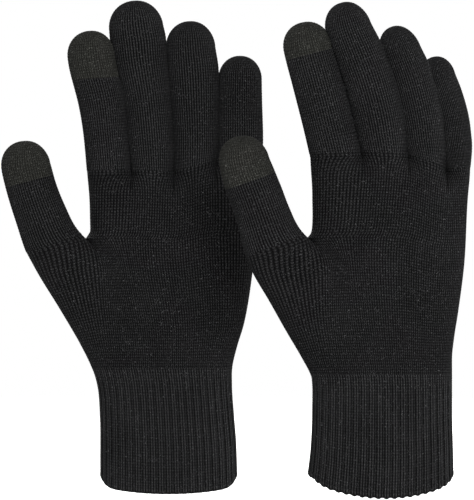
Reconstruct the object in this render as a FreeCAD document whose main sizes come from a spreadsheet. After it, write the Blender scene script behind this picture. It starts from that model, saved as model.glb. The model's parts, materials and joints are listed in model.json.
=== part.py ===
"""A pair of knitted touchscreen gloves, open as if worn, with the fingers pointing up.

Millimetres. +Z runs towards the fingertips, +X from the left glove to the right one.
The origin is the middle of the left glove's wrist, where the wearer's hand goes in.
The left glove shows its palm towards -Y. The right glove stands in front of it and
shows the back of its hand towards -Y, so both thumbs are on the -X side.

Each glove is a rib cuff, a hand, four fingers and a thumb. Every finger has a root
sleeve that folds at the knuckle, a lower tube, a bend sleeve that folds at the middle
joint, and a closed end. The index finger and the thumb end in conductive yarn.
"""
import FreeCAD, Part
import Sketcher
import os
import math

Vector = FreeCAD.Vector
Rotation = FreeCAD.Rotation
Placement = FreeCAD.Placement

document = FreeCAD.newDocument("touchscreen_gloves")
sheet = document.addObject("Spreadsheet::Sheet", "dims")

# ---------------------------------------------------------------- driving dimensions
COMMON = {
    "wall": 1.6,
    "cuff_drop": 61.0,          # hem below the wrist line
    "wrist_gap": 8.0,           # half the height of the sleeve that folds at the wrist
    "cuff_half_width": 34.0,
    "cuff_half_depth": 19.0,
    "hem_height": 4.0,
    "hem_bulge": 0.5,
    "hem_round": 0.9,
    "elastic_thread": 0.8,
    "elastic_pitch": 8.0,
    "elastic_first": 10.0,
    "elastic_count": 5,
    "knuckle_height": 96.0,
    "root_gap": 7.5,            # stiff tube starts this far past its hinge
}

# Sections of the hand, wrist to fingers: height, middle across, half width, half depth.
HAND_SECTIONS = {
    "heel": (8.0, -2.5, 36.5, 18.0),
    "thumb_start": (24.0, -6.0, 43.5, 18.5),
    "thumb_swell": (36.0, -8.5, 48.0, 18.5),
    "web": (49.0, -11.7, 53.0, 18.0),
    "palm_low": (49.0, 2.2, 40.0, 17.5),
    "palm_middle": (66.0, 2.0, 41.5, 17.2),
}

# Both gloves are one size: tube radius, distance from knuckle to middle joint, and
# half the height of the sleeve that folds there.
FINGER_SIZES = {
    "thumb": (11.5, 25.0, 8.5),
    "index": (10.3, 36.0, 9.2),
    "middle": (10.5, 42.0, 9.3),
    "ring": (10.0, 37.0, 9.0),
    "pinky": (9.3, 29.0, 8.3),
}

# How each worn finger stands: across and depth of its knuckle, lean towards the
# thumb side in degrees, and length from the knuckle to the tip.
LEFT_FINGERS = {
    "thumb": (-55.2, -4.0, 20.0, 59.6),
    "index": (-29.6, -3.0, 9.0, 75.0),
    "middle": (-8.3, -1.0, 5.0, 89.5),
    "ring": (13.5, 1.0, 2.0, 79.0),
    "pinky": (36.0, 3.0, 0.0, 61.5),
}
RIGHT_FINGERS = {
    "thumb": (-54.0, 0.0, 20.0, 64.0),
    "index": (-25.8, 0.0, 13.0, 82.5),
    "middle": (-4.2, -1.5, 12.0, 93.0),
    "ring": (17.4, -1.5, 12.0, 80.5),
    "pinky": (38.0, 2.0, 9.5, 64.0),
}

# Each glove: where its wrist is, how far it is turned, the top of its palm, the length
# of conductive yarn on the index finger, and its fingers.
GLOVES = {
    "left": {
        "across": 0.0, "forward": 0.0, "drop": 0.0, "turn": 0.0,
        "palm_top": (86.0, 3.5, 43.0, 17.0), "touch": 23.0, "fingers": LEFT_FINGERS,
    },
    "right": {
        "across": 106.6, "forward": 63.0, "drop": 2.5, "turn": 7.0,
        "palm_top": (86.0, 6.2, 43.0, 17.0), "touch": 20.0, "fingers": RIGHT_FINGERS,
    },
}
THUMB_KNUCKLE_HEIGHT = 59.0
SECTION_FIELDS = ("height", "across", "half_width", "half_depth")
SIZE_FIELDS = ("radius", "bend_at", "bend_gap")
POSE_FIELDS = ("across", "depth", "lean", "length")


def fill_sheet():
    """Write every driving dimension into the sheet under its own alias."""
    cells = dict(COMMON)
    cells["thumb_knuckle_height"] = THUMB_KNUCKLE_HEIGHT
    for section, numbers in HAND_SECTIONS.items():
        for field, number in zip(SECTION_FIELDS, numbers):
            cells[section + "_" + field] = number
    for finger, numbers in FINGER_SIZES.items():
        for field, number in zip(SIZE_FIELDS, numbers):
            cells[finger + "_" + field] = number
    for side, glove in GLOVES.items():
        for field in ("across", "forward", "drop", "turn", "touch"):
            cells[side + "_" + field] = glove[field]
        for field, number in zip(SECTION_FIELDS, glove["palm_top"]):
            cells[side + "_palm_top_" + field] = number
        for finger, numbers in glove["fingers"].items():
            for field, number in zip(POSE_FIELDS, numbers):
                cells[side + "_" + finger + "_" + field] = number
    for row, (alias, number) in enumerate(cells.items(), start=1):
        sheet.set("A%d" % row, alias)
        sheet.set("B%d" % row, str(number))
        sheet.setAlias("B%d" % row, alias)
    document.recompute()


def size(alias):
    """Read one driving dimension back from the sheet."""
    return float(sheet.get(alias))


def bind(item, **expressions):
    """Bind an object's properties to expressions on the sheet."""
    for name, expression in expressions.items():
        item.setExpression(name.replace("__", "."), expression)


# ---------------------------------------------------------------- building blocks
def slot_geometry(sketch):
    """Add an upright slot outline (two lines and two round ends) to a sketch."""
    half_turn = math.pi / 2
    top = Part.LineSegment(Vector(-20, 10, 0), Vector(20, 10, 0))
    right = Part.ArcOfCircle(Part.Circle(Vector(20, 0, 0), Vector(0, 0, 1), 10), -half_turn, half_turn)
    bottom = Part.LineSegment(Vector(20, -10, 0), Vector(-20, -10, 0))
    left = Part.ArcOfCircle(Part.Circle(Vector(-20, 0, 0), Vector(0, 0, 1), 10), half_turn, 3 * half_turn)
    return sketch.addGeometry([top, right, bottom, left], False)


def constrain_slot(sketch, ids, prefix, half_width, half_depth):
    """Tie a slot outline to the sketch's origin and to its half width and half depth."""
    top, right, bottom, left = ids
    sketch.addConstraint(Sketcher.Constraint("Tangent", top, 2, right, 2))
    sketch.addConstraint(Sketcher.Constraint("Tangent", right, 1, bottom, 1))
    sketch.addConstraint(Sketcher.Constraint("Tangent", bottom, 2, left, 2))
    sketch.addConstraint(Sketcher.Constraint("Tangent", left, 1, top, 1))
    sketch.addConstraint(Sketcher.Constraint("Horizontal", top))
    sketch.addConstraint(Sketcher.Constraint("Horizontal", bottom))
    sketch.addConstraint(Sketcher.Constraint("Symmetric", left, 3, right, 3, -1, 1))
    radius = sketch.addConstraint(Sketcher.Constraint("Radius", right, 10.0))
    sketch.renameConstraint(radius, prefix + "_end")
    straight = sketch.addConstraint(Sketcher.Constraint("DistanceX", left, 3, right, 3, 40.0))
    sketch.renameConstraint(straight, prefix + "_straight")
    sketch.setExpression("Constraints." + prefix + "_end", half_depth)
    sketch.setExpression("Constraints." + prefix + "_straight",
                         "2 * ((%s) - (%s))" % (half_width, half_depth))


def slot_sketch(name, outlines):
    """Make a sketch of one or two slots. outlines lists (half width, half depth)."""
    sketch = document.addObject("Sketcher::SketchObject", name)
    for number, (half_width, half_depth) in enumerate(outlines):
        ids = slot_geometry(sketch)
        constrain_slot(sketch, ids, "slot%d" % number, half_width, half_depth)
    return sketch


def section(name, alias, inset="0", height=None):
    """Make one cross-section of the hand, drawn inwards by an inset."""
    sketch = slot_sketch(name, [("dims.%s_half_width - %s" % (alias, inset),
                                 "dims.%s_half_depth - %s" % (alias, inset))])
    bind(sketch, Placement__Base__x="dims.%s_across" % alias,
         Placement__Base__z=height or "dims.%s_height" % alias)
    return sketch


def loft(name, sections):
    """Make a closed solid through a list of sections."""
    solid = document.addObject("Part::Loft", name)
    solid.Sections = sections
    solid.Solid = True
    solid.Ruled = True
    return solid


def cut(name, base, tool):
    """Take one solid away from another."""
    result = document.addObject("Part::Cut", name)
    result.Base = base
    result.Tool = tool
    return result


def fuse(name, shapes):
    """Join several solids."""
    result = document.addObject("Part::MultiFuse", name)
    result.Shapes = shapes
    return result


def rod(name, radius, start, end):
    """Make a solid cylinder along Z between two distances, given as expressions."""
    cylinder = document.addObject("Part::Cylinder", name)
    bind(cylinder, Radius=radius, Height="(%s) - (%s)" % (end, start), Placement__Base__z=start)
    return cylinder


def tube(name, radius, start, end):
    """Make an open tube along Z between two distances, given as expressions."""
    outer = rod(name + "_outside", radius, start, end)
    inner = rod(name + "_inside", radius + " - dims.wall", start, end)
    return cut(name, outer, inner)


def domed_rod(name, radius, start, end, inset="0"):
    """Make a rod along Z with a round end that reaches the end distance."""
    middle = "(%s) - (%s)" % (end, radius)
    body = rod(name + "_shaft", "%s - %s" % (radius, inset), start, middle)
    ball = document.addObject("Part::Sphere", name + "_ball")
    ball.Angle1 = 0
    bind(ball, Radius="%s - %s" % (radius, inset), Placement__Base__z=middle)
    return fuse(name, [body, ball])


def domed_tube(name, radius, start, end):
    """Make a hollow fingertip along Z: open at its start and round at its end."""
    outer = domed_rod(name + "_outside", radius, start, end)
    inner = domed_rod(name + "_inside", radius, start, end, "dims.wall")
    return cut(name, outer, inner)


# ---------------------------------------------------------------- one glove
def glove_placement(side):
    """Where a glove's own frame (its wrist) stands in the pair's frame."""
    place = Vector(size(side + "_across"), -size(side + "_forward"), -size(side + "_drop"))
    return Placement(place, Rotation(Vector(0, 0, 1), size(side + "_turn")))


def finger_placement(side, finger):
    """Frame of a finger within its glove: origin at the knuckle, +Z along the finger."""
    height = size("thumb_knuckle_height" if finger == "thumb" else "knuckle_height")
    key = side + "_" + finger
    knuckle = Vector(size(key + "_across"), size(key + "_depth"), height)
    return Placement(knuckle, Rotation(Vector(0, 1, 0), -size(key + "_lean")))


def make_cuff(side):
    """The rib cuff, its rolled hem and the elastic threads laid into its inside."""
    half_width = "dims.cuff_half_width"
    half_depth = "dims.cuff_half_depth"
    inside = (half_width + " - dims.wall", half_depth + " - dims.wall")
    profile = slot_sketch(side + "_cuff_profile", [(half_width, half_depth), inside])
    bind(profile, Placement__Base__z="dims.hem_height - dims.cuff_drop")
    wall = document.addObject("Part::Extrusion", side + "_cuff_wall")
    wall.Base = profile
    wall.Solid = True
    wall.DirMode = "Custom"
    wall.Dir = Vector(0, 0, 1)
    bind(wall, LengthFwd="dims.cuff_drop - dims.hem_height - dims.wrist_gap")

    threads = []
    for number in range(int(size("elastic_count"))):
        name = "%s_elastic_%d" % (side, number)
        recess = (inside[0] + " + dims.elastic_thread", inside[1] + " + dims.elastic_thread")
        ring = slot_sketch(name + "_profile", [recess, inside])
        bind(ring, Placement__Base__z="dims.elastic_first + %d * dims.elastic_pitch"
                                      " - dims.cuff_drop" % number)
        thread = document.addObject("Part::Extrusion", name)
        thread.Base = ring
        thread.Solid = True
        thread.DirMode = "Custom"
        thread.Dir = Vector(0, 0, 1)
        bind(thread, LengthFwd="dims.elastic_thread")
        threads.append(thread)
    elastic = document.addObject("Part::Compound", side + "_cuff_elastic")
    elastic.Links = threads
    recesses = document.addObject("Part::Compound", side + "_elastic_recesses")
    recesses.Links = threads
    cuff = cut(side + "_cuff", wall, recesses)

    body = document.addObject("PartDesign::Body", side + "_cuff_hem")
    outline = body.newObject("Sketcher::SketchObject", side + "_hem_profile")
    ground = [item for item in body.Origin.OriginFeatures if item.Role == "XY_Plane"][0]
    outline.AttachmentSupport = [(ground, "")]
    outline.MapMode = "FlatFace"
    bulged = (half_width + " + dims.hem_bulge", half_depth + " + dims.hem_bulge")
    for number, (width, depth) in enumerate((bulged, inside)):
        constrain_slot(outline, slot_geometry(outline), "slot%d" % number, width, depth)
    band = body.newObject("PartDesign::Pad", side + "_hem_band")
    band.Profile = outline
    bind(band, Length="dims.hem_height")
    document.recompute()
    level_edges = []
    for number, edge in enumerate(band.Shape.Edges, start=1):
        flat = edge.BoundBox.ZLength < 1e-6
        outside = edge.BoundBox.YMax > size("cuff_half_depth") or edge.BoundBox.YMin < -size("cuff_half_depth")
        if flat and outside:
            level_edges.append("Edge%d" % number)
    rounded = body.newObject("PartDesign::Fillet", side + "_hem_rounding")
    rounded.Base = (band, level_edges)
    bind(rounded, Radius="dims.hem_round")
    body.Tip = rounded
    hem_place = Placement(Vector(0, 0, -size("cuff_drop")), Rotation())
    return {"cuff": (cuff, None), "cuff_elastic": (elastic, None), "cuff_hem": (body, hem_place)}


def make_wrist_sleeve(side):
    """The short sleeve that folds between the cuff and the hand."""
    walls = []
    for name, inset in (("outside", "0"), ("inside", "dims.wall")):
        low = slot_sketch("%s_wrist_low_%s" % (side, name),
                          [("dims.cuff_half_width - " + inset, "dims.cuff_half_depth - " + inset)])
        bind(low, Placement__Base__z="-dims.wrist_gap")
        high = section("%s_wrist_high_%s" % (side, name), "heel", inset)
        walls.append(loft("%s_wrist_%s" % (side, name), [low, high]))
    return {"wrist_sleeve": (cut(side + "_wrist_sleeve", walls[0], walls[1]), None)}


def make_hand(side):
    """The hollow hand: open at the wrist, with a hole under each finger and the thumb."""
    palm_top = side + "_palm_top"
    low = ["heel", "thumb_start", "thumb_swell", "web"]
    high = ["palm_low", "palm_middle", palm_top]
    under_top = "dims.%s_height - dims.wall" % palm_top
    under_web = "dims.web_height - dims.wall"
    parts = {}
    for name, inset in (("outside", "0"), ("inside", "dims.wall")):
        lower_heights = [None, None, None, None if inset == "0" else under_web]
        upper_heights = [None if inset == "0" else under_web + " - dims.wall", None,
                         None if inset == "0" else under_top]
        lower = [section("%s_%s_%s" % (side, alias, name), alias, inset, height)
                 for alias, height in zip(low, lower_heights)]
        upper = [section("%s_%s_%s_up" % (side, alias, name), alias, inset, height)
                 for alias, height in zip(high, upper_heights)]
        parts[name] = [loft("%s_heel_%s" % (side, name), lower),
                       loft("%s_palm_%s" % (side, name), upper)]
    for finger in FINGER_SIZES:
        hole = rod("%s_%s_hole" % (side, finger), "dims.%s_radius - dims.wall" % finger,
                   "-2 * dims.root_gap", "0")
        hole.Placement = finger_placement(side, finger).multiply(hole.Placement)
        parts["inside"].append(hole)
    outside = fuse(side + "_hand_outside", parts["outside"])
    inside = fuse(side + "_hand_inside", parts["inside"])
    return {"hand": (cut(side + "_hand", outside, inside), None)}


def make_root(side, finger, place):
    """The sleeve between the hand's top face and a finger's lower tube."""
    key = "%s_%s_root" % (side, finger)
    floor_height = size("web_height") if finger == "thumb" else size(side + "_palm_top_height")
    long_sleeve = tube(key + "_long", "dims.%s_radius" % finger, "-3 * dims.root_gap", "dims.root_gap")
    block = document.addObject("Part::Box", key + "_trim")
    bind(block, Length="12 * dims.%s_radius" % finger, Width="12 * dims.%s_radius" % finger,
         Height="4 * dims.%s_radius" % finger)
    corner = 6 * size(finger + "_radius")
    below = Placement(place.Base + Vector(-corner, -corner, 0), Rotation())
    below.Base.z = floor_height - 4 * size(finger + "_radius")
    block.Placement = place.inverse().multiply(below)
    return {finger + "_root": (cut(key, long_sleeve, block), place)}


def make_finger(side, finger):
    """One finger above its knuckle: lower tube, bend sleeve and closed end."""
    place = finger_placement(side, finger)
    radius = "dims.%s_radius" % finger
    bend_start = "dims.{0}_bend_at - dims.{0}_bend_gap".format(finger)
    bend_end = "dims.{0}_bend_at + dims.{0}_bend_gap".format(finger)
    tip = "dims.%s_%s_length" % (side, finger)
    key = side + "_" + finger
    pieces = make_root(side, finger, place)
    pieces[finger + "_lower"] = (tube(key + "_lower", radius, "dims.root_gap", bend_start), place)
    pieces[finger + "_bend"] = (tube(key + "_bend", radius, bend_start, bend_end), place)
    if finger == "index":
        touch_start = "%s - dims.%s_touch" % (tip, side)
        pieces["index_upper"] = (tube(key + "_upper", radius, bend_end, touch_start), place)
        pieces["index_touch_tip"] = (domed_tube(key + "_touch_tip", radius, touch_start, tip), place)
    else:
        end_name = "thumb_touch_tip" if finger == "thumb" else finger + "_tip"
        pieces[end_name] = (domed_tube(side + "_" + end_name, radius, bend_end, tip), place)
    return pieces


def make_glove(side):
    """Make every piece of one glove and put it in the pair's frame."""
    pieces = {}
    pieces.update(make_cuff(side))
    pieces.update(make_wrist_sleeve(side))
    pieces.update(make_hand(side))
    for finger in FINGER_SIZES:
        pieces.update(make_finger(side, finger))
    glove = glove_placement(side)
    placed = {}
    for name, (item, place) in pieces.items():
        item.Placement = glove.multiply(place) if place else glove
        item.Label = side + "_" + name
        placed[item.Label] = item
    return placed


# ---------------------------------------------------------------- build and export
fill_sheet()
subparts = {}
for glove_side in GLOVES:
    subparts.update(make_glove(glove_side))
document.recompute()

for item in document.Objects:
    if "Invalid" in item.State or "Error" in item.State:
        raise RuntimeError("%s failed: %s" % (item.Name, item.State))

os.makedirs("parts", exist_ok=True)
for node, item in subparts.items():
    shape = item.Shape
    if shape.isNull() or not shape.isValid() or not shape.Solids:
        raise RuntimeError(node + " has no valid solid")
    print("%-24s %2d solid %9.1f mm3" % (node, len(shape.Solids), shape.Volume))
    shape.exportStep(os.path.join("parts", node + ".step"))
print(len(subparts), "nodes")
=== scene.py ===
import json
import math

import bpy
import mathutils
import numpy as np
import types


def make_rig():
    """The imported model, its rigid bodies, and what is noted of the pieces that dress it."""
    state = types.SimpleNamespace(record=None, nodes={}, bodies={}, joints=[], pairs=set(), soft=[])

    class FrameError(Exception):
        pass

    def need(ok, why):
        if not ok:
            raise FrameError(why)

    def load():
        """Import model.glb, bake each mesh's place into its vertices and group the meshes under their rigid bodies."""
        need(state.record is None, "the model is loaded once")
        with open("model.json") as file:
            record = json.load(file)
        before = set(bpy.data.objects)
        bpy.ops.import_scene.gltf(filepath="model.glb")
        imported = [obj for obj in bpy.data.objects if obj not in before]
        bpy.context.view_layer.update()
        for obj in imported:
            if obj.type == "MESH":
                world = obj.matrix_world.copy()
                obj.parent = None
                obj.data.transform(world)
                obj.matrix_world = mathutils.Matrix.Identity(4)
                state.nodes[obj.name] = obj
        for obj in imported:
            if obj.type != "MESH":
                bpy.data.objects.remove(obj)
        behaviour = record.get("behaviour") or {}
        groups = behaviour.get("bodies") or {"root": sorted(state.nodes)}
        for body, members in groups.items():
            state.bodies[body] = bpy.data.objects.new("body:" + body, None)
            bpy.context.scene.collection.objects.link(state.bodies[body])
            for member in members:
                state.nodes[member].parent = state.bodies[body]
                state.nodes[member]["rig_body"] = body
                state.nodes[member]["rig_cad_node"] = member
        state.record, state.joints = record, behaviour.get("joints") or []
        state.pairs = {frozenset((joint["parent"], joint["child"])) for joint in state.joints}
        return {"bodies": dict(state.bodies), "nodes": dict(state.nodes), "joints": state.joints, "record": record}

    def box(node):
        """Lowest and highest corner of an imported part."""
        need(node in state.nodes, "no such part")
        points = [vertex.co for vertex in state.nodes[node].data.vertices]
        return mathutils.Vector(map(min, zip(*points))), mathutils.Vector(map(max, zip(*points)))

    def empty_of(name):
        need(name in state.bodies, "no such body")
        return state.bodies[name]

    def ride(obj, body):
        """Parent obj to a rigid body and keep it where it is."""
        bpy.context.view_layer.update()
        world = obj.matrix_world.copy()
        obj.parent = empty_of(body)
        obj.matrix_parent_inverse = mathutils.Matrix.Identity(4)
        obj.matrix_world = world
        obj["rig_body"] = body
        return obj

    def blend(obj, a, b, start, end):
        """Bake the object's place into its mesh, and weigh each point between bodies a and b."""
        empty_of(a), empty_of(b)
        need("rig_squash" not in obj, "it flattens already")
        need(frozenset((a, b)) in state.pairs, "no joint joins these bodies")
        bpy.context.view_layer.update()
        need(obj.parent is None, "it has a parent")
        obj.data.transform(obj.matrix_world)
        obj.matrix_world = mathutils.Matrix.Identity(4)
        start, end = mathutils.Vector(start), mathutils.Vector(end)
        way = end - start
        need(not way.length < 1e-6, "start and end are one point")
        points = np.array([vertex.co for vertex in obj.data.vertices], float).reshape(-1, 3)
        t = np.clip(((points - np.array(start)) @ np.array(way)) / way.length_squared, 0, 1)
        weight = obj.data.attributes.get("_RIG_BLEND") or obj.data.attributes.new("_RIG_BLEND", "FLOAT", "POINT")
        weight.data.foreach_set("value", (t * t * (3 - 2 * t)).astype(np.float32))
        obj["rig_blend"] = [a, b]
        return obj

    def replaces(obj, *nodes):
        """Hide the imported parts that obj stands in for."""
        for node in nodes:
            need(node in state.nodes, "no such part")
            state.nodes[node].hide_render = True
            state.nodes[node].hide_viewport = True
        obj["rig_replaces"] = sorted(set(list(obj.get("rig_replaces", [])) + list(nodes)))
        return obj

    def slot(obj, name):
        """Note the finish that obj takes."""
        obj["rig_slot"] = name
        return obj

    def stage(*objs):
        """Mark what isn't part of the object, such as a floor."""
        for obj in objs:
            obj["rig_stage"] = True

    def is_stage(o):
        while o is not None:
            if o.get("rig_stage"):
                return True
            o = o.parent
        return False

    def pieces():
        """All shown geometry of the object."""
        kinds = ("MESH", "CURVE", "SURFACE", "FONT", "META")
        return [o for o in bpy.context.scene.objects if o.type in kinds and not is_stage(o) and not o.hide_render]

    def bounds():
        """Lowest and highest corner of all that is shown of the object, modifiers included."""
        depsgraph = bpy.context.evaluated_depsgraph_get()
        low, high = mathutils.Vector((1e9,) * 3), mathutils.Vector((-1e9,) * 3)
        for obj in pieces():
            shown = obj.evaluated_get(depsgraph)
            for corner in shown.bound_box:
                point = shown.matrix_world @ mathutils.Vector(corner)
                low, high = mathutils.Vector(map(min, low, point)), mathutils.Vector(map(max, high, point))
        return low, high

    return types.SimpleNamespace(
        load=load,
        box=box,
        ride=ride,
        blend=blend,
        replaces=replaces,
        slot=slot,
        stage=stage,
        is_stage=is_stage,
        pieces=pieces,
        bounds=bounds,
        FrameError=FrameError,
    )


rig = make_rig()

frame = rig.load()
cad_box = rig.bounds()

# A pair of knitted touchscreen gloves, worn shape, fingers up. Every size below is in millimetres in
# the glove's own frame: x across the palm with the thumb at -x, y from front to back, z up from the wrist.
MM = 0.001

WALES = 15               # knit columns in one half of a finger or of the thumb
PER_WALE = 4             # mesh columns in a knit column
ROW = 0.72               # height of one mesh row; two rows make a knit course
WALL = 1.5               # thickness of the knit
SECTION_POWER = 2.5      # how square the hand's cross-section is, 2 being an ellipse
PINCH = 11.0             # how far below a finger crotch its groove starts
WEB_PINCH = 17.0         # the same below the thumb's crotch
WEB_BEND = 0.035         # how far the crease below the thumb's crotch turns into the palm
KNIT_START = 1.5         # height where the ribs end and the plain knit starts
RIBS = 45                # ribs round the cuff, each two knit columns and one furrow
RIB_DEPTH = 0.8
LEG_RELIEF = 0.17        # height of the two yarn legs of a knit column
LOOP_RELIEF = 0.10       # height of one course over the next
CREASE_TALL = 12.0       # how far below the crotch that crease turns most
THUMB_DEEP = 0.84        # the thumb's half depth at its base, as a share of the hand's
THUMB_SAG = 1.7          # how fast the knit rows drop towards the thumb's outer edge, as a power
DEPTH_RUN = 17.0         # length of a digit over which its depth and its centre settle
LEAN_RUN = 12.0          # height over which fingers start to lean on each other
SQUARE_RUN = 14.0        # length of a digit over which its rows turn square to it
TILT_RUN = 10.0          # length of a digit over which a slanting crotch levels out
CURL = 3.0               # how far forward a fingertip curls
STUB_ROWS = 3            # mesh rows of a digit that belong to the hand
GAP = 0.3                # clear space between fingers that lie side by side
HAND_PER_WALE = 3.5      # mesh columns in a knit column of the hand, which is less stretched
WALE_RELIEF = 0.09       # height of a whole knit column of the hand
FOLD_LENGTH = 24.0       # length of finger that a fold is spread over
FOLD_LAG = 4.0           # how far below its hinge a finger starts to fold
THUMB_LAG = 2.0
HEM_TALL = 4.0
HEM_BEHIND = 0.4         # how much of its front bow the hem has behind
HEM_HANGS = 0.7          # share of the hem below the last ring of ribs
RIB_COLUMNS = 12         # mesh columns in a rib
RIB_FADE = 8.0           # height over which the ribs grow to their full depth
THREADS = 5
THREAD_WIDTH = 0.8
VIEW_DISTANCE = 6.0      # metres
VIEW_TALL = 0.250
YARN, PATCH, FIBRE = 900, 55, 1500     # grain of the yarn, of its uneven dye and of its stray fibres
FIBRE_SHOWS = 0.72       # a fibre's noise value above which it starts to show
CROTCH_HALF = {"index": 13.2, "middle": 13.4, "ring": 13.2, "pinky": 12.4}

COLUMNS = WALES * PER_WALE
FINGERS = ("index", "middle", "ring", "pinky")

# A digit: its stations (x, z, half width) from the crotch to where the tip starts rounding, the tip
# itself, the half depth, how far back its centre line lies, and where its conductive end starts.
LEFT = {
    "side": "left",
    "palm_side": -1,
    "thumb_edge": [(-57, -33.8), (-20, -34.2), (-10, -35), (0, -37.4), (12, -43), (30, -53.4),
                   (48, -64.5), (58, -70)],
    "little_edge": [(-57, 34.5), (-40, 34), (-24, 32.8), (-8, 31.9), (2, 32.1), (12, 34.4), (24, 38),
                    (48, 42), (85, 45.5), (103, 46.8)],
    "index_edge": [(66.2, -41), (67.1, -39.9), (68.6, -39.2), (71, -38.8), (75, -38.9), (86, -39.2),
                   (98, -40.2)],
    "depth": [(-57, 18.9), (-20, 17.8), (0, 17.4), (30, 18.4), (60, 17.8), (98, 16)],
    "thumb_crotch": (-41, 66.3),
    "thumb_base": (-69.6, 57.7),
    "crotches": [(-18.3, 98.5), (2.8, 97.5), (23.8, 103)],
    "edges_at_crotch": [(-40.2, 98), (46.8, 103)],
    "lean_in": [-0.12, -0.12, -0.12],
    "level_border": "index",
    "digits": {
        "thumb": ([(-58.3, 65.7, 13.9), (-63.3, 77.5, 12.8), (-67.6, 89.5, 12.3), (-70.2, 99, 12.2),
                   (-71, 102.5, 12.1)],
                  (-71.9, 115), 11.5, -5, 95),
        "index": ([(-30.8, 115.5, 10.9), (-33.1, 135.5, 11.7), (-36.8, 150, 11.9), (-38.2, 157.5, 11.8)],
                  (-39, 170), 10.4, -4, 146.5),
        "middle": ([(-8.9, 115.5, 11.7), (-10.8, 135.5, 12.1), (-13.9, 155.5, 13.4), (-14.9, 165, 13.8),
                    (-15.9, 171.5, 13.4)],
                   (-17, 185.1), 10.9, -1.5, None),
        "ring": ([(13.6, 115.5, 11.5), (13, 135.5, 12.3), (12.3, 150, 12.9), (11.3, 161.5, 12.2)],
                 (10.8, 174.9), 10.5, 1, None),
        "pinky": ([(36, 118, 11.4), (35.9, 135, 11), (36, 146, 10.7)],
                  (36.2, 157.6), 9.7, 3, None),
    },
    "hem": {"low": -61.2, "bow": 3.3, "corner": 4.5, "power": 16, "scallop": 0.15},
}
RIGHT = {
    "side": "right",
    "palm_side": 1,
    "thumb_edge": [(-57, -36.9), (-45, -35.8), (-33, -35.2), (-20, -34.9), (-3, -35), (1, -35.6),
                   (9, -39.7), (23.4, -48.2), (37.8, -56.4), (51.6, -64.6), (58.5, -67.6)],
    "little_edge": [(-57, 35), (-40, 34.7), (-20, 34.3), (9, 34.3), (20, 35.4), (32, 37.3), (56, 40.4),
                    (92, 42.5), (103, 44)],
    "index_edge": [(69.2, -37.3), (70.2, -36.2), (71.8, -35.4), (74, -35), (90, -34.9), (109, -36.1)],
    "depth": [(-57, 18.9), (-20, 17.8), (0, 17.4), (30, 18.4), (60, 17.8), (108, 16)],
    "thumb_crotch": (-37.3, 69.2),
    "thumb_base": (-67.6, 58.5),
    "crotches": [(-11.2, 109.5), (12.2, 108.5), (31.6, 101.5)],
    "edges_at_crotch": [(-36.3, 108.5), (44, 102)],
    "lean_in": [0.02, -0.12, -0.22],
    "level_border": None,
    "digits": {
        "thumb": ([(-54.9, 67.4, 14.8), (-59.6, 79.8, 13.3), (-62.9, 89, 13.1), (-66.3, 98, 12.9),
                   (-69, 107, 12.2)],
                  (-70.4, 119.4), 11.5, -1, 97.5),
        "index": ([(-25.3, 117.4, 12.5), (-27.6, 127.3, 12.5), (-32.7, 147.1, 12.4), (-37.2, 163.5, 12)],
                  (-39.4, 175.7), 10.4, -1, 160),
        "middle": ([(-0.6, 117.4, 12.3), (-2.2, 127.3, 12.6), (-7.4, 147.1, 12.7), (-12.2, 160, 12.3),
                    (-17.2, 172.5, 11.2)], (-20.6, 185.4), 10.9, -3, None),
        "ring": ([(20.4, 117.4, 10.9), (19.2, 127.3, 11.2), (14.5, 147.1, 11), (9.3, 160.8, 10)],
                 (4.6, 173.5), 10.5, 0, None),
        "pinky": ([(36.2, 117.4, 8.6), (35, 127.3, 8.6), (32, 139, 8.5), (28.4, 149.3, 8.3)],
                  (26.4, 158.8), 9.4, 4, None),
    },
    "hem": {"low": -59.6, "bow": 7.5, "corner": 3.5, "power": 12, "scallop": 1.0},
}


# ---- small tools for curves and sections ----

def smooth(table, at):
    """A curve through a short table of (place, value) pairs that never overshoots them."""
    place, value = np.array(table, float).T
    step = np.diff(place)
    slope = np.diff(value) / step
    tangent = np.concatenate(([slope[0]], (slope[1:] + slope[:-1]) / 2, [slope[-1]]))
    tangent[1:-1][slope[1:] * slope[:-1] <= 0] = 0
    at = np.asarray(at, float)
    i = np.clip(np.searchsorted(place, at) - 1, 0, len(step) - 1)
    t = np.clip((at - place[i]) / step[i], 0, 1)
    rise = t * t * (3 - 2 * t)
    return (value[i] * (1 - rise) + value[i + 1] * rise + step[i] * tangent[i] * t * (1 - t) ** 2
            - step[i] * tangent[i + 1] * t * t * (1 - t))


def ease(t):
    """0 to 1, starting and ending gently."""
    t = np.clip(t, 0, 1)
    return t * t * (3 - 2 * t)


def pinch(t):
    """0 where a groove starts, 1 at its crotch, where the front and the back meet."""
    t = np.clip(t, 0, 1)
    return 1 - (1 - t * t) ** 0.85


def mix(a, b, share):
    return a + (b - a) * share


def half_section(left, right, depth, share):
    """Points at shares of the length of half a rounded section, as (x, distance from its middle plane)."""
    turn = np.linspace(0, math.pi, 721)
    across = -np.sign(np.cos(turn)) * np.abs(np.cos(turn)) ** (2 / SECTION_POWER)
    out = np.sin(turn).clip(0) ** (2 / SECTION_POWER)
    x = (left + right) / 2 + (right - left) / 2 * across
    y = depth * out
    length = np.concatenate(([0], np.cumsum(np.hypot(np.diff(x), np.diff(y)))))
    at = np.asarray(share) * length[-1]
    return np.interp(at, length, x), np.interp(at, length, y)


def share_at(left, right, depth, x):
    """The share of a half section's length at which it is at x."""
    shares = np.linspace(0, 1, 1001)
    return np.interp(x, half_section(left, right, depth, shares)[0], shares)


def spread(shares):
    """Shares for every mesh column, from the shares at the digits' borders."""
    return np.interp(np.arange(COLUMNS * (len(shares) - 1) + 1), np.arange(len(shares)) * COLUMNS, shares)


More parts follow.
